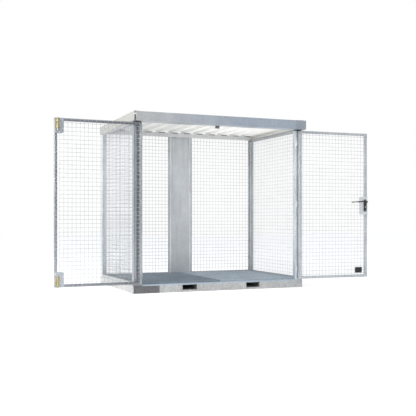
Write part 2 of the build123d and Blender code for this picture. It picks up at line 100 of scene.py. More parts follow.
class Graph:
    """A small helper that adds nodes to one material."""

    def __init__(self, name):
        self.material = bpy.data.materials.new(name)
        self.material.use_nodes = True
        self.tree = self.material.node_tree
        self.tree.nodes.clear()
        self.output = self.tree.nodes.new("ShaderNodeOutputMaterial")
        self.shader = self.add("ShaderNodeBsdfPrincipled")
        self.link(self.shader, "BSDF", self.output, "Surface")
        self.coords = self.add("ShaderNodeTexCoord")

    def add(self, kind, **values):
        """A new shader node with these settings."""
        node = self.tree.nodes.new(kind)
        for key, value in values.items():
            setattr(node, key, value)
        return node

    def link(self, a, out, b, into):
        """Join an output of one node to an input of another."""
        self.tree.links.new(a.outputs[out], b.inputs[into])

    def scaled(self, scale):
        """Object coordinates times a scale, which may be one number or three."""
        mapping = self.add("ShaderNodeMapping")
        mapping.inputs["Scale"].default_value = scale if hasattr(scale, "__len__") else (scale,) * 3
        self.link(self.coords, "Object", mapping, "Vector")
        return mapping

    def noise(self, scale, detail=3.0, roughness=0.5):
        """A cloudy pattern."""
        mapping = self.scaled(scale)
        node = self.add("ShaderNodeTexNoise")
        node.inputs["Scale"].default_value = 1.0
        node.inputs["Detail"].default_value = detail
        node.inputs["Roughness"].default_value = roughness
        self.link(mapping, "Vector", node, "Vector")
        return node

    def flakes(self, scale):
        """A pattern of flat cells, each with its own value."""
        mapping = self.scaled(scale)
        node = self.add("ShaderNodeTexVoronoi")
        node.inputs["Scale"].default_value = 1.0
        self.link(mapping, "Vector", node, "Vector")
        return node

    def ramp(self, source, out, stops):
        """Turn a pattern into colours; each stop is a place from 0 to 1 and a colour."""
        node = self.add("ShaderNodeValToRGB")
        elements = node.color_ramp.elements
        while len(elements) < len(stops):
            elements.new(0.5)
        for element, (place, colour) in zip(elements, stops):
            element.position = place
            element.color = (*colour, 1)
        self.link(source, out, node, "Fac")
        return node

    def multiply(self, factor, a, a_out, b, b_out):
        """Multiply two colours, as far as the factor says."""
        node = self.add("ShaderNodeMix", data_type="RGBA", blend_type="MULTIPLY")
        node.inputs[MIX_FACTOR].default_value = factor
        self.link(a, a_out, node, MIX_A)
        self.link(b, b_out, node, MIX_B)
        return node

    def bump(self, source, out, strength, distance):
        """Use a pattern as fine relief."""
        node = self.add("ShaderNodeBump")
        node.inputs["Strength"].default_value = strength
        node.inputs["Distance"].default_value = distance
        self.link(source, out, node, "Height")
        self.link(node, "Normal", self.shader, "Normal")

    def roughness(self, source, out, low, high):
        """Let a pattern set the roughness between two values."""
        node = self.add("ShaderNodeMapRange")
        node.inputs["To Min"].default_value = low
        node.inputs["To Max"].default_value = high
        self.link(source, out, node, "Value")
        self.link(node, "Result", self.shader, "Roughness")


def grey(value, blue):
    """A grey with a share of blue in it."""
    return (value * (1 - blue), value, value * (1 + blue))


def galvanised(name, low, high, flake=90.0, metallic=0.75, rough=(0.38, 0.55), blue=0.035,
               streaks=0.12, bump=0.04):
    """Zinc coat: crystal flakes of slightly different greys, cloudy patches, fine runs down the surface."""
    g = Graph(name)
    flakes = g.flakes((flake, flake, flake * 0.8))
    spangle = g.ramp(flakes, "Color", [(0.1, grey(low, blue)), (0.9, grey(high, blue))])
    clouds = g.noise(3.5, 5.0, 0.6)
    cloud = g.ramp(clouds, "Fac", [(0.3, (0.86, 0.86, 0.87)), (0.7, (1.04, 1.04, 1.03))])
    base = g.multiply(1.0, spangle, "Color", cloud, "Color")
    runs = g.noise((28, 28, 1.6), 4.0, 0.6)
    run = g.ramp(runs, "Fac", [(0.45, (1, 1, 1)), (0.75, (0.80, 0.79, 0.77))])
    base = g.multiply(streaks * 4, base, MIX_RESULT, run, "Color")
    g.link(base, MIX_RESULT, g.shader, "Base Color")
    g.roughness(flakes, "Color", *rough)
    g.shader.inputs["Metallic"].default_value = metallic
    grain = g.noise(260, 3.0)
    g.bump(grain, "Fac", bump, 0.0006)
    return g.material


def across_length(material, start, end, left, right):
    """Tint a metal along X: the left tint up to start, the right one from end on."""
    tree = material.node_tree
    shader = next(node for node in tree.nodes if node.type == "BSDF_PRINCIPLED")
    source = shader.inputs["Base Color"].links[0].from_socket
    coords = tree.nodes.new("ShaderNodeTexCoord")
    parts = tree.nodes.new("ShaderNodeSeparateXYZ")
    tree.links.new(coords.outputs["Object"], parts.inputs[0])
    step = tree.nodes.new("ShaderNodeMapRange")
    step.inputs["From Min"].default_value = start
    step.inputs["From Max"].default_value = end
    tree.links.new(parts.outputs["X"], step.inputs["Value"])
    tint = tree.nodes.new("ShaderNodeMix")
    tint.data_type = "RGBA"
    tint.inputs[MIX_A].default_value = (*left, 1)
    tint.inputs[MIX_B].default_value = (*right, 1)
    tree.links.new(step.outputs["Result"], tint.inputs[MIX_FACTOR])
    product = tree.nodes.new("ShaderNodeMix")
    product.data_type = "RGBA"
    product.blend_type = "MULTIPLY"
    product.inputs[MIX_FACTOR].default_value = 1.0
    tree.links.new(source, product.inputs[MIX_A])
    tree.links.new(tint.outputs[MIX_RESULT], product.inputs[MIX_B])
    tree.links.new(product.outputs[MIX_RESULT], shader.inputs["Base Color"])
    return material


def coated(name, colour, rough, dirt, metallic=0.0, grain=300.0):
    """A painted, coated or moulded surface with faint dirt and a fine grain."""
    g = Graph(name)
    clouds = g.noise(4.5, 6.0, 0.65)
    tint = g.ramp(clouds, "Fac", [(0.35, tuple(c * (1 - dirt) for c in colour)), (0.65, colour)])
    g.link(tint, "Color", g.shader, "Base Color")
    fine = g.noise(grain, 2.0)
    g.roughness(fine, "Fac", rough * 0.85, rough * 1.2)
    g.shader.inputs["Metallic"].default_value = metallic
    g.bump(fine, "Fac", 0.05, 0.0004)
    return g.material


def passivated(name):
    """Yellow passivated zinc, with the faint rainbow patches that it has."""
    g = Graph(name)
    patches = g.noise(38, 2.0, 0.5)
    tint = g.ramp(patches, "Fac", [(0.30, (0.22, 0.17, 0.10)), (0.46, (0.46, 0.38, 0.20)),
                                   (0.56, (0.40, 0.42, 0.26)), (0.72, (0.50, 0.28, 0.16))])
    g.link(tint, "Color", g.shader, "Base Color")
    g.shader.inputs["Metallic"].default_value = 0.55
    g.shader.inputs["Roughness"].default_value = 0.5
    fine = g.noise(500, 2.0)
    g.bump(fine, "Fac", 0.05, 0.0003)
    return g.material


PLAIN = (1.0, 1.0, 1.0)
FOLDED = {"flake": 110.0, "rough": (0.34, 0.46), "streaks": 0.06}
SILL = {"flake": 60.0, "blue": 0.01, "streaks": 0.2}
POST = {"flake": 75.0, "metallic": 0.85, "rough": (0.26, 0.38), "blue": 0.05}
WIRE = {"flake": 240.0, "metallic": 0.6, "streaks": 0.0, "bump": 0.1}

steel = galvanised("steel_tube", 0.46, 0.62, metallic=0.85, rough=(0.28, 0.42))
# The open left leaf: a darker copy of the frame steel, which is painted shade; darker still towards its
# hinges, apart from the stile that carries them
leaf_steel = galvanised("steel_leaf", 0.25, 0.38, metallic=0.9, rough=(0.24, 0.36), blue=0.07)
leaf_steel = across_length(leaf_steel, -2.15, -1.2, (1.2, 1.14, 1.19), (0.72, 0.72, 0.72))
leaf_steel = across_length(leaf_steel, -1.150, -1.140, PLAIN, (1.4, 1.4, 1.4))
# The open right leaf: a lighter copy of the same steel, which is painted light
right_leaf_steel = galvanised("steel_right_leaf", 0.56, 0.72, metallic=0.85, rough=(0.26, 0.38), blue=0.05)
rail_steel = galvanised("steel_rail", 0.66, 0.80, blue=0.01)
sill_steel = galvanised("steel_sill", 0.40, 0.56, **SILL)
# A lighter copy of the sill steel for the side sills and sill end plates, which face the lamp on the left:
# painted light
side_sill_steel = galvanised("steel_side_sill", 0.54, 0.70, **SILL)
# The front sill has a darker length at its left end
front_sill_steel = across_length(galvanised("steel_front_sill", 0.44, 0.60, **SILL),
                                 -0.870, -0.850, (0.36, 0.36, 0.37), PLAIN)
sheet_steel = across_length(galvanised("steel_sheet", 0.41, 0.49, metallic=0.7, blue=0.10, **FOLDED),
                            -1.1, 0.3, (1.28, 1.18, 1.10), (0.97, 1.0, 1.06))
edge_steel = galvanised("steel_edge", 0.46, 0.56, metallic=0.6, blue=0.16, **FOLDED)
# Near-black strips on the rear rail under the roof sheet: painted shade
shade_strip_black = coated("shade_strip_black", (0.05, 0.05, 0.048), 0.7, 0.2)
cap_steel = galvanised("steel_cap", 0.36, 0.44, metallic=0.7, blue=0.12, **FOLDED)
column_steel = galvanised("steel_column", 0.53, 0.65, flake=130.0, metallic=0.45, rough=(0.40, 0.52),
                          blue=0.05, streaks=0.2)
# The rear column's posts: light enough that their edge faces show as bright stripes beside the column,
# which is painted light
stile_steel = galvanised("steel_stile", 0.74, 0.88, flake=130.0, metallic=0.85, rough=(0.28, 0.40),
                         streaks=0.16)
post_steel = galvanised("steel_post", 0.64, 0.80, **POST)
front_post_steel = across_length(galvanised("steel_front_post", 0.64, 0.80, **POST),
                                 -1.0, 1.0, (0.62, 0.63, 0.65), (1.06, 1.06, 1.06))
weld_steel = galvanised("steel_weld", 0.14, 0.24, flake=300.0, streaks=0.0, bump=0.12)
# Copies of one wire: the right panels' is lighter, which is painted light, and the left leaf's is made
# brighter beside its hinges, which is a painted highlight
left_wire = galvanised("steel_wire_left", 0.42, 0.60, blue=0.05, **WIRE)
leaf_wire = across_length(galvanised("steel_wire_leaf", 0.42, 0.60, blue=0.05, **WIRE),
                          -1.20, -1.16, PLAIN, (1.5, 1.5, 1.5))
right_wire = galvanised("steel_wire_right", 0.52, 0.70, **WIRE)
grating_left = galvanised("steel_grating_left", 0.27, 0.40, flake=150.0, metallic=0.6, blue=0.17)
grating_right = galvanised("steel_grating_right", 0.44, 0.60, flake=150.0, metallic=0.6, blue=0.13)
keeper_steel = galvanised("steel_keeper", 0.16, 0.26, flake=400.0, metallic=0.6, streaks=0.0)
plate_steel = galvanised("steel_plate", 0.72, 0.86, flake=120.0, metallic=0.6, rough=(0.3, 0.45),
                         streaks=0.05)
corner_steel = galvanised("steel_corner", 0.40, 0.56, rough=(0.3, 0.45), blue=0.08, streaks=0.05)
bolt_steel = galvanised("steel_bolt", 0.34, 0.50, flake=400.0, metallic=0.8, streaks=0.0)
hinge_steel = galvanised("steel_hinge", 0.60, 0.76, flake=300.0, metallic=0.8, streaks=0.0)
roof_paint = coated("roof_coating", (0.86, 0.855, 0.83), 0.45, 0.06)
verge_paint = coated("verge_coating", (0.36, 0.36, 0.345), 0.5, 0.08)
lock_steel = coated("lock_satin", (0.62, 0.62, 0.60), 0.32, 0.08, metallic=0.85, grain=900.0)
black_satin = coated("black_furniture", (0.022, 0.020, 0.022), 0.5, 0.25)
black_matt = coated("black_plate", (0.012, 0.012, 0.014), 0.55, 0.2)
brass_zinc = passivated("yellow_zinc")


def wire_steel(name):
    """The wire of one mesh panel: the right panels' is a lighter copy, which is painted light; the left
    leaf's is brighter beside its hinges, a painted highlight.
    """
    if "right" in name:
        return right_wire
    return leaf_wire if "leaf" in name else left_wire


node_materials = {
    "front_sill": front_sill_steel, "rear_sill": sill_steel, "side_sills": side_sill_steel,
    "centre_bearer": sill_steel, "fork_pockets": sill_steel,
    "left_grating": grating_left, "right_grating": grating_right,
    "front_posts": front_post_steel, "rear_posts": post_steel, "post_packers": black_satin,
    "front_header": steel, "rear_top_rail": rail_steel, "side_top_rails": roof_paint,
    "top_keeper": keeper_steel, "roof_sheet": roof_paint, "roof_verges": verge_paint,
    "front_fascia": sheet_steel, "left_wall_frame": steel, "right_wall_frame": steel,
    "rear_left_frame": steel, "rear_right_frame": steel, "rear_centre_column": column_steel,
    "rear_centre_posts": stile_steel, "hinge_pins": hinge_steel,
    "left_leaf_frame": leaf_steel, "right_leaf_frame": right_leaf_steel,
    "left_leaf_knuckles": hinge_steel, "right_leaf_knuckles": hinge_steel,
    "corner_plates": corner_steel, "bolt_housings": brass_zinc,
    "top_shoot_bolt": brass_zinc, "bottom_shoot_bolt": brass_zinc,
    "lock_case": plate_steel, "lock_plates": plate_steel, "lock_backplates": black_satin,
    "lock_cylinder": lock_steel, "lock_lever": black_satin, "blank_plate": black_matt,
}
for name in nodes:
    if name.endswith("_mesh"):
        node_materials[name] = wire_steel(name)
for name, node in nodes.items():
    node.data.materials.clear()
    node.data.materials.append(node_materials[name])


# Softened edges of the solids, in millimetres
edge_widths = {
    "front_sill": 3, "rear_sill": 3, "side_sills": 3, "centre_bearer": 3, "fork_pockets": 2.5,
    "front_posts": 2.5, "rear_posts": 2.5, "post_packers": 1.5,
    "front_header": 2.5, "rear_top_rail": 2, "side_top_rails": 2, "top_keeper": 1,
    "roof_verges": 1.2, "front_fascia": 1.2, "left_wall_frame": 3, "right_wall_frame": 3,
    "rear_left_frame": 3, "rear_right_frame": 3, "rear_centre_posts": 1.3, "rear_centre_column": 1.3,
    "left_leaf_frame": 3, "right_leaf_frame": 3, "corner_plates": 0.8, "bolt_housings": 0.6,
    "lock_case": 1.5, "lock_plates": 1.0, "lock_backplates": 2.0, "lock_lever": 2.2, "blank_plate": 0.6,
}
for name, width in edge_widths.items():
    node = nodes[name]
    weld = node.modifiers.new("weld", "WELD")
    weld.merge_threshold = 0.02 * MM
    bevel = node.modifiers.new("bevel", "BEVEL")
    bevel.width = width * MM
    bevel.segments = 2
    bevel.limit_method = "ANGLE"
    bevel.angle_limit = math.radians(40)
    for polygon in node.data.polygons:
        polygon.use_smooth = True
    normals = node.modifiers.new("normals", "WEIGHTED_NORMAL")
    normals.weight = 100


# Mesh tools
class Shape:
    """Vertices and faces of one piece, collected before they become a mesh."""

    def __init__(self):
        self.vertices = []
        self.faces = []
        self.smooth = []

    def face(self, indices, smooth=True):
        """One face over points that are already there."""
        self.faces.append(tuple(indices))
        self.smooth.append(smooth)

    def rings(self, rings, smooth=True):
        """Skin between rings of the same number of points, closed at both ends."""
        first = len(self.vertices)
        sides = len(rings[0])
        for ring in rings:
            self.vertices.extend(Vector(point) for point in ring)
        for row in range(len(rings) - 1):
            for side in range(sides):
                a = first + row * sides + side
                b = first + row * sides + (side + 1) % sides
                self.face((a, b, b + sides, a + sides), smooth)
        last = first + (len(rings) - 1) * sides
        self.face([first + side for side in reversed(range(sides))], False)
        self.face([last + side for side in range(sides)], False)

    def wire(self, start, end, rows, lean):
        """A wire between two points, with a slight bow in the middle towards lean."""
        start, end, lean = Vector(start), Vector(end), Vector(lean)
        u, v = across((end - start).normalized())
        bow = rng.uniform(-0.6, 0.6) * MM
        rings = []
        for row in range(rows):
            t = row / (rows - 1)
            middle = start.lerp(end, t) + lean * (bow * math.sin(math.pi * t))
            rings.append(circle(middle, u, v, WIRE_RADIUS, 8))
        self.rings(rings)

    def lathe(self, at, normal, profile, sides=16, smooth=True, turn=0.0):
        """A turned shape on a surface: the profile lists radius and height above the surface."""
        normal = Vector(normal).normalized()
        u, v = across(normal)
        self.rings([circle(Vector(at) + normal * height, u, v, radius, sides, turn)
                    for radius, height in profile], smooth)

    def block(self, low, high, chamfer):
        """A box with chamfered edges."""
        low, high = Vector(low), Vector(high)
        loops = []
        for z, inset in ((low.z, chamfer), (low.z + chamfer, 0), (high.z - chamfer, 0), (high.z, chamfer)):
            x0, x1 = low.x + inset, high.x - inset
            y0, y1 = low.y + inset, high.y - inset
            c = chamfer if inset == 0 else chamfer * 0.5
            loops.append([(x0 + c, y0, z), (x1 - c, y0, z), (x1, y0 + c, z), (x1, y1 - c, z),
                          (x1 - c, y1, z), (x0 + c, y1, z), (x0, y1 - c, z), (x0, y0 + c, z)])
        self.rings(loops, smooth=False)

    def bead(self, start, end, radius):
        """A weld bead: a low ripple of molten metal along a line, thinner at both ends."""
        start, end = Vector(start), Vector(end)
        length = (end - start).length
        rows = max(5, int(length / (3.2 * MM)))
        u, v = across((end - start).normalized())
        rings = []
        for row in range(rows + 1):
            t = row / rows
            thin = 0.45 + 0.55 * min(1.0, 6 * t, 6 * (1 - t))
            size = radius * thin * (1.0 if row % 2 else 0.84) * rng.uniform(0.94, 1.06)
            rings.append(circle(start.lerp(end, t), u, v, size, 7))
        self.rings(rings)

    def nugget(self, middle, size):
        """A small rounded weld spot: an icosahedron stretched to three radii."""
        first = len(self.vertices)
        for x, y, z in ICO_POINTS:
            self.vertices.append(Vector(middle) + Vector((x * size[0], y * size[1], z * size[2])))
        for face in ICO_FACES:
            self.face([first + index for index in face])

    def finish(self, name, material, body, slot, place=None):
        """Turn the collected shape into a piece that rides on a body."""
        points = self.vertices
        flip = False
        if place is not None:
            points = [place @ point for point in points]
            flip = place.determinant() < 0
        mesh = bpy.data.meshes.new(name)
        mesh.from_pydata(points, [], [tuple(reversed(face)) if flip else face for face in self.faces])
        mesh.polygons.foreach_set("use_smooth", self.smooth)
        mesh.update()
        piece = bpy.data.objects.new(name, mesh)
        bpy.context.scene.collection.objects.link(piece)
        mesh.materials.append(material)
        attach(piece, body)
        return piece


def across(along):
    """Two directions square to a given one, and to each other."""
    other = Vector((0, 0, 1)) if abs(along.z) < 0.9 else Vector((1, 0, 0))
    u = along.cross(other).normalized()
    return u, along.cross(u)


def circle(middle, u, v, radius, sides, turn=0.0):
    """Points around a middle, in the plane of two directions."""
    steps = (turn + 2 * math.pi * side / sides for side in range(sides))
    return [middle + (u * math.cos(angle) + v * math.sin(angle)) * radius for angle in steps]


GOLDEN = (1 + math.sqrt(5)) / 2
ICO_POINTS = [Vector(point).normalized() for point in (
    (-1, GOLDEN, 0), (1, GOLDEN, 0), (-1, -GOLDEN, 0), (1, -GOLDEN, 0), (0, -1, GOLDEN), (0, 1, GOLDEN),
    (0, -1, -GOLDEN), (0, 1, -GOLDEN), (GOLDEN, 0, -1), (GOLDEN, 0, 1), (-GOLDEN, 0, -1), (-GOLDEN, 0, 1))]
ICO_FACES = ((0, 11, 5), (0, 5, 1), (0, 1, 7), (0, 7, 10), (0, 10, 11), (1, 5, 9), (5, 11, 4), (11, 10, 2),
             (10, 7, 6), (7, 1, 8), (3, 9, 4), (3, 4, 2), (3, 2, 6), (3, 6, 8), (3, 8, 9), (4, 9, 5),
             (2, 4, 11), (6, 2, 10), (8, 6, 7), (9, 8, 1))


def hex_bolt(shape, at, normal):
    """A hexagon head on a flat washer, turned at random; its size is the thread's diameter."""
    size, turn = BOLT_SIZE, rng.uniform(0, 1)
    shape.lathe(at, normal, [(1.06 * size, 0), (1.1 * size, 0.05 * size), (1.1 * size, 0.14 * size),
                             (1.04 * size, 0.18 * size)], 20)
    head = Vector(at) + Vector(normal).normalized() * (0.17 * size)
    shape.lathe(head, normal, [(0.95 * size, 0), (0.98 * size, 0.04 * size), (0.98 * size, 0.52 * size),
                               (0.84 * size, 0.64 * size)], 6, smooth=False, turn=turn)


def dome_head(shape, at, normal, radius):
    """A low round head, as rivets and pan screws have."""
    shape.lathe(at, normal, [(radius, 0), (radius * 0.98, radius * 0.22), (radius * 0.8, radius * 0.48),
                             (radius * 0.45, radius * 0.64), (radius * 0.12, radius * 0.68)], 14)


def about(x, y, angle):
    """Turn about an upright axis through a point."""
    return Matrix.Translation((x, y, 0)) @ Matrix.Rotation(angle, 4, "Z") @ Matrix.Translation((-x, -y, 0))


# From the closed left leaf, for which all leaf parts are made, to the two open leaves
mirror_x = Matrix.Scale(-1, 4, (1, 0, 0))
left_leaf_place = about(-HINGE_X, LEAF_Y, -LEFT_OPEN)
right_leaf_place = about(HINGE_X, LEAF_Y, RIGHT_OPEN) @ mirror_x


# Wire mesh
def wire_places(length):
    """Where the inner wires lie along one side of a panel, evenly to both sides of the middle."""
    count = int(round((length - 16 * MM) / MM) // round(WIRE_PITCH / MM))
    first = (length - (count - 1) * WIRE_PITCH) / 2
    return [first + index * WIRE_PITCH for index in range(count)]


def wire_panel(name, node, place, width, height, body, hole=(0, 0, 0, 0)):
    """Round welded wires where the solid has square ones: level wires in front, upright wires behind.

    The hole, in which there are no wires, is given by its two ends in width and its two ends in height.
    """
    shape = Shape()
    hole_x0, hole_x1, hole_z0, hole_z1 = hole
    columns = [WIRE_RADIUS] + wire_places(width) + [width - WIRE_RADIUS]
    rows = [WIRE_RADIUS] + wire_places(height) + [height - WIRE_RADIUS]
    behind = WIRE_RADIUS * 0.82
    for x in columns:
        spans = [(0, hole_z0), (hole_z1, height)] if hole_x0 < x < hole_x1 else [(0, height)]
        for z0, z1 in spans:
            shape.wire((x, behind, z0), (x, behind, z1), 9, (1, 0, 0))
    for z in rows:
        end = hole_x0 if hole_z0 < z < hole_z1 else width
        shape.wire((0, -behind, z), (end, -behind, z), 7, (0, 0, 1))
    for x in columns:
        for z in rows:
            if not (hole_x0 < x < hole_x1 and hole_z0 < z < hole_z1):
                size = rng.uniform(0.9, 1.15)
                shape.nugget((x, 0, z), (2.7 * MM * size, 2.2 * MM, 2.7 * MM * size))
    piece = shape.finish(name, wire_steel(name), body, "mesh_wire", place)
    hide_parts(node)


def make_wires():
    """All six mesh panels, at the places that the solids have."""
    for name in ("left_wall", "right_wall", "rear_left", "rear_right"):
        low, high = (Vector(corner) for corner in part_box(name + "_mesh"))
        middle = (low + high) / 2
        if name.endswith("wall"):
            quarter = Matrix.Rotation(math.pi / 2, 4, "Z")
            place = Matrix.Translation((middle.x, low.y, low.z)) @ quarter
            if name == "right_wall":
                place = mirror_x @ Matrix.Translation((-middle.x, low.y, low.z)) @ quarter
            width = high.y - low.y
        else:
            place = Matrix.Translation((low.x, middle.y, low.z))
            if name == "rear_right":
                place = mirror_x @ Matrix.Translation((-high.x, middle.y, low.z))
            width = high.x - low.x
        wire_panel(name + "_wires", name + "_mesh", place, width, high.z - low.z, "cage")
    corner = (-LEAF_OUT + MESH_INSET, LEAF_Y + LEAF_DEPTH + MESH_DEPTH / 2, LEAF_LOW + MESH_INSET)
    closed = Matrix.Translation(corner)
    width = LEAF_OUT - LEAF_FREE - 2 * MESH_INSET
    height = LEAF_HIGH - LEAF_LOW - 2 * MESH_INSET
    lock_room = (LEAF_OUT - MESH_INSET - LOCK_ROOM_WIDTH, width + MESH_INSET,
                 LOCK_ROOM_LOW - LEAF_LOW - MESH_INSET, LOCK_ROOM_HIGH - LEAF_LOW - MESH_INSET)
    wire_panel("left_leaf_wires", "left_leaf_mesh", left_leaf_place @ closed, width, height, "left_leaf")
    wire_panel("right_leaf_wires", "right_leaf_mesh", right_leaf_place @ closed, width, height,
               "right_leaf", lock_room)


# Floor gratings
def make_grating(node, name, material):
    """Bearing bars on edge in a frame, with twisted square rods pressed in, flush with their tops."""
    low, high = (Vector(corner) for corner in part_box(node))
    bar = GRATING_BAR
    shape = Shape()
    shape.block((low.x, low.y, low.z), (high.x, low.y + bar, high.z), 0.5 * MM)
    shape.block((low.x, high.y - bar, low.z), (high.x, high.y, high.z), 0.5 * MM)
    count = 2 * round((high.x - low.x - bar) / GRATING_PITCH)
    step = (high.x - low.x - bar) / count
    for index in range(count + 1):
        x = low.x + index * step
        drop = 0.0 if index in (0, count) else 0.4 * MM
        shape.block((x, low.y + bar * 0.5, low.z), (x + bar, high.y - bar * 0.5, high.z - drop), 0.4 * MM)
    rods = int((high.y - low.y) / ROD_PITCH)
    for index in range(1, rods):
        y = low.y + index * (high.y - low.y) / rods
        z = high.z - ROD_RADIUS - 0.3 * MM
        start = rng.uniform(0, math.pi)
        rings = []
        for row in range(count * 2 + 1):
            middle = Vector((low.x + bar / 2 + row * step / 2, y, z))
            turn = start + row * math.pi / 4
            rings.append(circle(middle, Vector((0, 1, 0)), Vector((0, 0, 1)), ROD_RADIUS, 4, turn))
        shape.rings(rings, smooth=False)
    piece = shape.finish(name, material, "cage", "grating_steel")
    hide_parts(node)


# Fasteners and welds
def make_frame_bolts():
    """Hexagon bolts of the wall frames, the rear frames and the centre column."""
    bolts = Shape()
    for name in ("left_wall_frame", "right_wall_frame"):
        low, high = (Vector(corner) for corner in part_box(name))
        x = (low.x + high.x) / 2
        for share in (0.06, 0.5, 0.94):
            y = low.y + share * (high.y - low.y)
            hex_bolt(bolts, (x, y, low.z + 40 * MM), (0, 0, 1))
            hex_bolt(bolts, (x, y, high.z - 40 * MM), (0, 0, -1))
    for name in ("rear_left_frame", "rear_right_frame"):
        low, high = (Vector(corner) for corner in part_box(name))
        for share in (0.05, 0.35, 0.65, 0.95):
            x = low.x + share * (high.x - low.x)
            hex_bolt(bolts, (x, high.y, high.z - 20 * MM), (0, 1, 0))
            hex_bolt(bolts, (x, (low.y + high.y) / 2, low.z + 40 * MM), (0, 0, 1))
    low, high = (Vector(corner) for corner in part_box("rear_centre_column"))
    for x in (low.x + 60 * MM, high.x - 60 * MM):
        for z in (high.z - 45 * MM, low.z + 45 * MM):
            hex_bolt(bolts, (x, low.y, z), (0, -1, 0))
    bolts.finish("frame_bolts", bolt_steel, "cage", "galvanised")


def make_post_welds():
    """Weld beads at the feet of the posts and at the hinge blocks on the front posts."""
    welds = Shape()
    front_back, rear_front = FRONT + FRONT_POST_DEPTH, REAR - REAR_POST_DEPTH
    for side in (-1, 1):
        for node, width, y0, y1, faces, lift in (
                ("front_posts", FRONT_POST_WIDTH, FRONT, front_back, (FRONT,), 8 * MM),
                ("rear_posts", REAR_POST_WIDTH, rear_front, REAR, (rear_front, REAR), 0)):
            inner = HALF - width
            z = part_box(node)[0][2] + lift
            for x in (side * inner, side * HALF):
                welds.bead((x, y0 + 4 * MM, z), (x, y1 - 4 * MM, z), 3 * MM)
            for y in faces:
                welds.bead((side * (inner + 4 * MM), y, z), (side * (HALF - 4 * MM), y, z), 3 * MM)
    y = FRONT - 0.5 * MM
    for side in (-1, 1):
        x0, x1 = side * (HINGE_X + 30 * MM), side * (HINGE_X + 2 * MM)
        for height in HINGE_HEIGHTS:
            for z in (height - 1 * MM, height - 39 * MM):
                welds.bead((x0, y, z), (x1, y, z), 3.2 * MM)
    welds.finish("post_welds", weld_steel, "cage", "galvanised")


def make_roof_screws():
    """Self-drilling screws with sealing washers on the roof's ribs, and along both verges."""
    shape = Shape()
    underside = BEAM_TOP + ROOF_FALL * (FRONT + FRONT_POST_DEPTH)
    for index in range(-5, 6):
        x = index * RIB_PITCH
        for y in (FRONT + 45 * MM, 0.0, REAR - 49 * MM):
            z = underside - ROOF_FALL * y + RIB_TOP
            shape.lathe((x, y, z - 0.5 * MM), (0, 0, 1),
                        [(9 * MM, 0), (9.5 * MM, 1.2 * MM), (8.5 * MM, 2.6 * MM)], 18)
            shape.lathe((x, y, z + 2 * MM), (0, 0, 1),
                        [(5 * MM, 0), (5 * MM, 4 * MM), (4.2 * MM, 5 * MM)], 6, False, rng.uniform(0, 1))
    for side in (-1, 1):
        for index in range(5):
            y = FRONT + 60 * MM + index * (REAR - FRONT - 120 * MM) / 4
            z = underside - ROOF_FALL * y - 20 * MM
            shape.lathe((side * HALF, y, z), (side, 0, 0),
                        [(6.5 * MM, 0), (6.8 * MM, 1 * MM), (6 * MM, 2 * MM)], 16)
            shape.lathe((side * (HALF + 1.6 * MM), y, z), (side, 0, 0),
                        [(4 * MM, 0), (4 * MM, 3.2 * MM), (3.4 * MM, 4 * MM)], 6, False)
    shape.finish("roof_screws", bolt_steel, "cage", "galvanised")


def make_fascia_cap():
    """The folded corner cap over the right end of the front fascia."""
    low, high = (Vector(corner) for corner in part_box("front_fascia"))
    t = 1.5 * MM
    x0, x1 = HALF - 158 * MM, HALF + t
    shape = Shape()
    shape.block((x0, low.y - t, low.z - t), (x1, low.y, high.z + t), 0.5 * MM)
    shape.block((HALF, low.y - 0.2 * MM, low.z - t), (x1, FRONT - 2 * MM, high.z + t), 0.5 * MM)
    shape.block((x0, low.y - 0.2 * MM, low.z - t), (x1, FRONT - 2 * MM, low.z), 0.5 * MM)
    shape.block((x0, low.y - 0.2 * MM, high.z), (x1, low.y + 64 * MM, high.z + t), 0.5 * MM)
    for x in (x0 + 14 * MM, x1 - 14 * MM):
        dome_head(shape, (x, low.y + 30 * MM, high.z + t), (0, 0, 1), 3.2 * MM)
    shape.finish("fascia_cap", cap_steel, "cage", "folded_sheet")


def make_threshold():
    """The folded cap over the front sill's upper edge, between the front posts.

    It is shallow enough to stay clear of the closed leaf's bottom bolt.
    """
    shape = Shape()
    x1 = HALF - FRONT_POST_WIDTH - FOLD
    x0 = -x1
    top = SILL_HEIGHT + 11 * MM
    back = FRONT + 26 * MM
    shape.block((x0, FRONT - FOLD, 92 * MM), (x1, FRONT, top), 0.7 * MM)
    shape.block((x0, FRONT - FOLD * 0.5, top - FOLD), (x1, back, top), 0.7 * MM)
    shape.block((x0, back - FOLD, SILL_HEIGHT), (x1, back, top - 0.5 * MM), 0.7 * MM)
    for index in range(6):
        x = x0 + 60 * MM + index * (x1 - x0 - 120 * MM) / 5
        dome_head(shape, (x, FRONT + 13 * MM, top), (0, 0, 1), 3 * MM)
    shape.finish("threshold_cap", edge_steel, "cage", "folded_sheet")


def make_sill_ends():
    """Plates welded into the open ends of the front and rear sills."""
    plates = Shape()
    for side in (-1, 1):
        x0, x1 = sorted((side * (HALF - 4 * MM), side * (HALF - 1 * MM)))
        weld_x = side * (HALF - 1.2 * MM)
        for y0, y1 in ((FRONT + 3.5 * MM, FRONT + SILL_FLANGE), (REAR - SILL_FLANGE, REAR - 3.5 * MM)):
            plates.block((x0, y0, 3.5 * MM), (x1, y1, SILL_HEIGHT - 3.5 * MM), 0.6 * MM)
            for z in (4.5 * MM, SILL_HEIGHT - 4.5 * MM):
                plates.bead((weld_x, y0 + 2 * MM, z), (weld_x, y1 - 2 * MM, z), 1.6 * MM)
    plates.finish("sill_end_plates", side_sill_steel, "cage", "galvanised")


def make_roof_shade_strips():
    """Dark strips on the rear rail under the roof sheet's low lengths: painted shade, for the shadow
    between the sheet and the rail.
    """
    low, high = (Vector(corner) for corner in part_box("rear_top_rail"))
    shape = Shape()
    for index in range(-6, 6):
        x0 = max(low.x + 2 * MM, index * RIB_PITCH + 55 * MM)
        x1 = min(high.x - 2 * MM, index * RIB_PITCH + 145 * MM)
        if x1 > x0:
            shape.block((x0, low.y - 3 * MM, high.z - 9 * MM), (x1, low.y, high.z - 0.5 * MM), 0.8 * MM)
    shape.finish("roof_shade_strips", shade_strip_black, "cage", "black_plate")


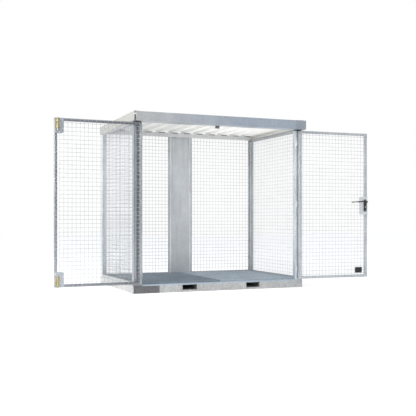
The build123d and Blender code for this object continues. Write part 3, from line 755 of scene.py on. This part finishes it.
def leaf_welds(name, place, body):
    """Weld beads at a leaf frame's corners and hinge blocks, and weld spots under its wires.

    They are made for the closed left leaf.
    """
    shape = Shape()
    for x in (-LEAF_OUT, -LEAF_FREE - LEAF_TUBE):
        for z in (LEAF_LOW + LEAF_TUBE, LEAF_HIGH - LEAF_TUBE):
            for face in (LEAF_Y, LEAF_Y + LEAF_DEPTH):
                shape.bead((x + 1 * MM, face, z), (x + LEAF_TUBE - 1 * MM, face, z), 2.2 * MM)
    y = LEAF_Y - 0.5 * MM
    for height in HINGE_HEIGHTS:
        for z in (height + 1 * MM, height + 41 * MM):
            shape.bead((-LEAF_OUT + 2 * MM, y, z), (-LEAF_OUT + 29 * MM, y, z), 2.4 * MM)
    y = LEAF_Y + LEAF_DEPTH + MESH_DEPTH / 2 - 2.5 * MM
    for along in wire_places(LEAF_OUT - LEAF_FREE - 2 * MESH_INSET):
        for z in (LEAF_LOW + LEAF_TUBE - 5 * MM, LEAF_HIGH - LEAF_TUBE + 5 * MM):
            shape.nugget((-LEAF_OUT + MESH_INSET + along, y, z), (4.2 * MM, 3.2 * MM, 4.6 * MM))
    y = LEAF_Y + LEAF_DEPTH + 1 * MM
    hinge_stile, free_stile = -LEAF_OUT + LEAF_TUBE / 2, -LEAF_FREE - LEAF_TUBE / 2
    for up in wire_places(LEAF_HIGH - LEAF_LOW - 2 * MESH_INSET):
        z = LEAF_LOW + MESH_INSET + up
        at_lock = body == "right_leaf" and LOCK_ROOM_LOW < z < LOCK_ROOM_HIGH
        for x in (hinge_stile,) if at_lock else (hinge_stile, free_stile):
            size = rng.uniform(0.85, 1.15)
            shape.nugget((x, y, z), (9 * MM * size, 3.0 * MM, 5.5 * MM * size))
    shape.finish(name, weld_steel, body, "galvanised", place)


def make_bolt_details():
    """Rivets of the corner plates and screws of the bolt housings on the left leaf."""
    rivets, screws = Shape(), Shape()
    face = LEAF_FACE + PLATE
    for edge, up in ((LEAF_HIGH, 1), (LEAF_LOW, -1)):
        for x, drop in ((-15 * MM, 160 * MM), (-100 * MM, 14 * MM), (-64 * MM, 168 * MM),
                        (-101 * MM, 128 * MM)):
            dome_head(rivets, (x, face, edge - up * drop), (0, 1, 0), 5 * MM)
        middle = edge - up * 70 * MM
        for dx in (-18 * MM, 18 * MM):
            for dz in (-50 * MM, 0, 50 * MM):
                dome_head(screws, (SHOOT_BOLT_X + dx, face + 2 * MM, middle + dz), (0, 1, 0), 3.4 * MM)
    rivets.finish("corner_plate_rivets", plate_steel, "left_leaf", "galvanised", left_leaf_place)
    screws.finish("bolt_housing_screws", brass_zinc, "left_leaf", "yellow_zinc", left_leaf_place)


def make_lock_details():
    """Screws and key slots of the lock, and the rim and rivets of the black plate, on the right leaf."""
    plates, shields, slots = Shape(), Shape(), Shape()
    x = SPINDLE_X
    slot_low = LOCK_HEIGHT - 27.5 * MM
    for face, outward in ((LEAF_FACE, 1), (LEAF_Y, -1)):
        on_plate = face + outward * LOCK_PLATE
        on_shield = on_plate + outward * BACKPLATE
        for dx in (-94 * MM, -14 * MM):
            for z in (LOCK_HEIGHT - 115 * MM, LOCK_HEIGHT + 115 * MM):
                dome_head(plates, (-LEAF_FREE + dx, on_plate, z), (0, outward, 0), 4 * MM)
        for z in (LOCK_HEIGHT - 70 * MM, LOCK_HEIGHT + 77 * MM):
            dome_head(shields, (x, on_shield, z), (0, outward, 0), 4.2 * MM)
        slot_face = on_shield + outward * 1.5 * MM
        y0, y1 = sorted((slot_face, on_shield + outward * 2.4 * MM))
        slots.block((x - 0.9 * MM, y0, slot_low), (x + 0.9 * MM, y1, slot_low + 10 * MM), 0.25 * MM)
        slots.lathe((x, slot_face, slot_low + 8.5 * MM), (0, outward, 0),
                    [(2.4 * MM, 0), (2.4 * MM, 0.7 * MM), (2.0 * MM, 0.9 * MM)], 16)
    plates.finish("lock_plate_screws", bolt_steel, "right_leaf", "galvanised", right_leaf_place)
    shields.finish("backplate_screws", lock_steel, "right_leaf", "lock_metal", right_leaf_place)
    slots.finish("key_slots", black_satin, "right_leaf", "black_furniture", right_leaf_place)

    rim, rivets = Shape(), Shape()
    x1 = -LEAF_FREE - 90 * MM
    x0 = x1 - 112 * MM
    z0, z1 = 180 * MM, 258 * MM
    back, top = LEAF_FACE + 1.6 * MM, LEAF_FACE + 3.4 * MM
    for low, high in (((x0, z0), (x1, z0 + 4 * MM)), ((x0, z1 - 4 * MM), (x1, z1)),
                      ((x0, z0 + 3 * MM), (x0 + 4 * MM, z1 - 3 * MM)),
                      ((x1 - 4 * MM, z0 + 3 * MM), (x1, z1 - 3 * MM))):
        rim.block((low[0], back, low[1]), (high[0], top, high[1]), 0.6 * MM)
    for x in (x0 + 11 * MM, x1 - 11 * MM):
        for z in (z0 + 11 * MM, z1 - 11 * MM):
            dome_head(rivets, (x, LEAF_FACE + 2 * MM, z), (0, 1, 0), 3.6 * MM)
    rim.finish("black_plate_rim", black_matt, "right_leaf", "black_plate", right_leaf_place)
    rivets.finish("black_plate_rivets", lock_steel, "right_leaf", "lock_metal", right_leaf_place)


make_wires()
make_grating("left_grating", "left_grating_bars", grating_left)
make_grating("right_grating", "right_grating_bars", grating_right)
make_frame_bolts()
make_post_welds()
make_roof_screws()
make_fascia_cap()
make_threshold()
make_sill_ends()
make_roof_shade_strips()
leaf_welds("left_leaf_welds", left_leaf_place, "left_leaf")
leaf_welds("right_leaf_welds", right_leaf_place, "right_leaf")
make_bolt_details()
make_lock_details()


# Floor, lights and camera
def seen_directly(tree):
    """An output that is 1 for camera, mirrored and transmitted rays, and 0 for all others."""
    path = tree.nodes.new("ShaderNodeLightPath")
    seen = path.outputs["Is Camera Ray"]
    for name in ("Is Glossy Ray", "Is Transmission Ray"):
        larger = tree.nodes.new("ShaderNodeMath")
        larger.operation = "MAXIMUM"
        tree.links.new(seen, larger.inputs[0])
        tree.links.new(path.outputs[name], larger.inputs[1])
        seen = larger.outputs[0]
    return seen


def make_floor():
    """A plain pale floor that looks white and still takes the cage's shadow."""
    bpy.ops.mesh.primitive_plane_add(size=60)
    floor = bpy.context.object
    floor.name = "studio_floor"
    floor.location = (0, 0, -0.0005)
    g = Graph("studio_floor")
    g.shader.inputs["Base Color"].default_value = (0.80, 0.80, 0.80, 1)
    g.shader.inputs["Roughness"].default_value = 1.0
    g.shader.inputs["Specular IOR Level"].default_value = 0.0
    glow = g.add("ShaderNodeEmission")
    glow.inputs["Color"].default_value = (1, 1, 1, 1)
    strength = g.add("ShaderNodeMath", operation="MULTIPLY")
    g.tree.links.new(seen_directly(g.tree), strength.inputs[0])
    strength.inputs[1].default_value = FLOOR_GLOW
    g.link(strength, "Value", glow, "Strength")
    total = g.add("ShaderNodeAddShader")
    g.link(g.shader, "BSDF", total, 0)
    g.link(glow, "Emission", total, 1)
    g.link(total, "Shader", g.output, "Surface")
    floor.data.materials.append(g.material)


def make_world():
    """Soft light from all sides, and a white background."""
    world = bpy.data.worlds.new("studio")
    bpy.context.scene.world = world
    world.use_nodes = True
    tree = world.node_tree
    tree.nodes.clear()
    out = tree.nodes.new("ShaderNodeOutputWorld")
    soft = tree.nodes.new("ShaderNodeBackground")
    soft.inputs["Color"].default_value = (0.93, 0.96, 1.0, 1)
    soft.inputs["Strength"].default_value = 0.7
    white = tree.nodes.new("ShaderNodeBackground")
    white.inputs["Color"].default_value = (1, 1, 1, 1)
    white.inputs["Strength"].default_value = 1.0
    mix = tree.nodes.new("ShaderNodeMixShader")
    tree.links.new(seen_directly(tree), mix.inputs[0])
    tree.links.new(soft.outputs[0], mix.inputs[1])
    tree.links.new(white.outputs[0], mix.inputs[2])
    tree.links.new(mix.outputs[0], out.inputs["Surface"])


def dark_card():
    """A large grey card behind the camera, which the steel's front faces mirror."""
    mesh = bpy.data.meshes.new("studio_card")
    x0, x1, y, low, high = -7.0, 7.0, -13.5, 0.9, 6.5
    mesh.from_pydata([(x0, y, low), (x1, y, low), (x1, y, high), (x0, y, high)], [], [(0, 3, 2, 1)])
    g = Graph("studio_card")
    g.shader.inputs["Base Color"].default_value = (0.10, 0.10, 0.11, 1)
    g.shader.inputs["Roughness"].default_value = 1.0
    mesh.materials.append(g.material)
    card = bpy.data.objects.new("studio_card", mesh)
    bpy.context.scene.collection.objects.link(card)
    card.visible_camera = False


def area_light(name, place, aim, size, power, colour, mirrored=True, spread=180):
    """A rectangular lamp out of the camera's sight; unless mirrored, the steel doesn't show it either."""
    data = bpy.data.lights.new(name, "AREA")
    data.shape = "RECTANGLE"
    data.size, data.size_y = size
    data.energy = power
    data.color = colour
    data.spread = math.radians(spread)
    light = bpy.data.objects.new(name, data)
    bpy.context.scene.collection.objects.link(light)
    light.location = place
    light.rotation_euler = (Vector(aim) - Vector(place)).to_track_quat("-Z", "Y").to_euler()
    light.visible_camera = False
    light.visible_glossy = mirrored


make_floor()
make_world()
dark_card()
area_light("key_left", (-8.3, -2.6, 3.6), (0, 0, 1.0), (4.5, 4.5), 760, (1.0, 0.985, 0.96))
area_light("fill_front", (1.5, -8.5, 4.2), (0, 0, 1.1), (5.0, 3.5), 40, (0.97, 0.98, 1.0))
area_light("bounce_low", (-0.5, -4.2, 0.25), (0, 0, 2.2), (4.0, 1.5), 60, (1.0, 0.99, 0.97), False)
area_light("roof_bounce", (0.72, 0.0, 0.35), (0.72, 0.0, 2.2), (1.7, 1.1), 11, (1.0, 0.99, 0.97), False,
           spread=100)

camera_data = bpy.data.cameras.new("camera")
camera_data.sensor_width = SENSOR
camera_data.lens = FOCAL_PIXELS / PHOTO_PIXELS * SENSOR
camera_data.shift_y = RISE_PIXELS / PHOTO_PIXELS
camera_data.clip_start = 0.1
camera_data.clip_end = 200
camera = bpy.data.objects.new("camera", camera_data)
bpy.context.scene.collection.objects.link(camera)
camera.location = CAMERA_PLACE
camera.rotation_euler = (math.radians(90), 0, CAMERA_TURN)
bpy.context.scene.camera = camera
bpy.context.scene.view_settings.view_transform = "Standard"
